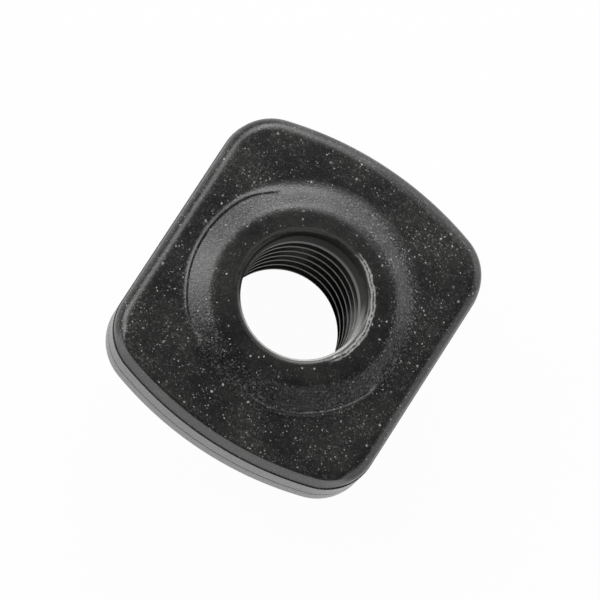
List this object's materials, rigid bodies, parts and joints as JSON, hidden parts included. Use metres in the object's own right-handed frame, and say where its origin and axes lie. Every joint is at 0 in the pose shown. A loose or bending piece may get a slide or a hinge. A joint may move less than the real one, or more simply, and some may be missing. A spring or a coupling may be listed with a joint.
{
  "type": "t slot nut",
  "caption": "Forged T-slot nut: a wide flange with two bowed ends, a narrower neck that fits the slot, and a threaded hole through a low conical boss.",
  "frame": {"origin": "on the thread's axis, in the plane of the neck's end face, on which the nut stands", "axes": "+X across the two straight sides, +Y over the two bowed ends and along the slot, +Z along the thread's axis from the neck to the boss"},
  "size_m": [0.0244, 0.0276, 0.0141],
  "materials": {
    "blackened_steel": "black oxide over a die-forged skin, dull, with bright wear on the lip of the bore"
  },
  "bodies": {
    "root": {"nut_body": "blackened_steel"}
  },
  "joints": []
}
